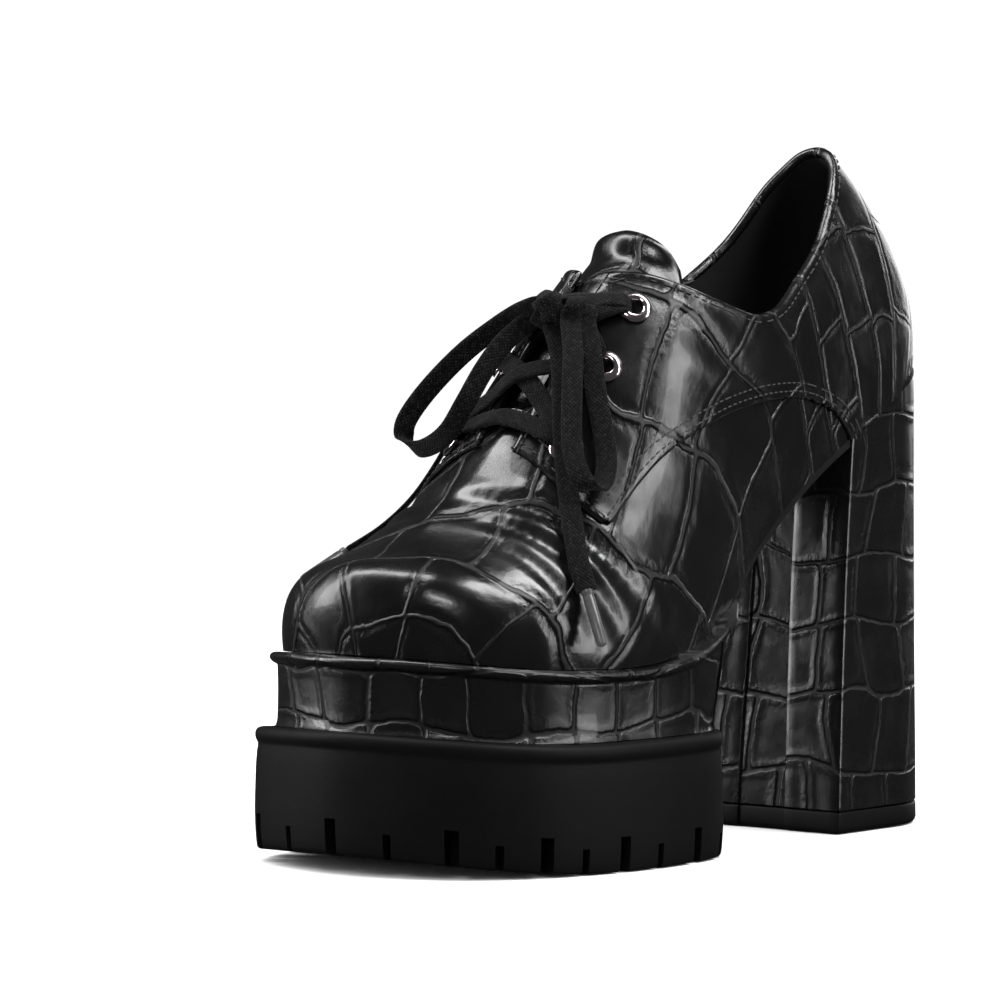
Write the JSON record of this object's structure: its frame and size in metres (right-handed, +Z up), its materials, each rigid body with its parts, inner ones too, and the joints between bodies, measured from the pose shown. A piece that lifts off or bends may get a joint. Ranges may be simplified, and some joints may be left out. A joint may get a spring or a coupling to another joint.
{
  "type": "platform shoe",
  "caption": "Left laced platform shoe with a tall block heel, notched rubber platform sole, lapped quarters, tongue and flat lace tied in a bow.",
  "frame": {"origin": "centre of the shoe's outline seen from above, on the floor", "axes": "+Z up, toe toward -Y, outer (lateral) side toward +X"},
  "size_m": [0.1116, 0.2364, 0.2015],
  "materials": {
    "leather": "gloss",
    "rubber": "matte",
    "waist": "satin",
    "lining": "matte",
    "lace": "matte",
    "chrome": "polished",
    "aglet": "gloss"
  },
  "bodies": {
    "root": {"outsole": "rubber", "platform": "leather", "waist_cover": "waist", "heel": "leather", "top_lift": "rubber", "insole": "lining", "upper": "leather", "tongue": "leather", "eyelet_lateral_1": "chrome", "eyelet_medial_1": "chrome", "eyelet_lateral_2": "chrome", "eyelet_medial_2": "chrome", "eyelet_lateral_3": "chrome", "eyelet_medial_3": "chrome", "lacing": "lace", "lace_knot": "lace", "lace_loop_lateral": "lace", "lace_loop_medial": "lace", "lace_end_lateral": "lace", "lace_end_medial": "lace", "aglet_lateral": "aglet", "aglet_medial": "aglet"}
  },
  "joints": []
}
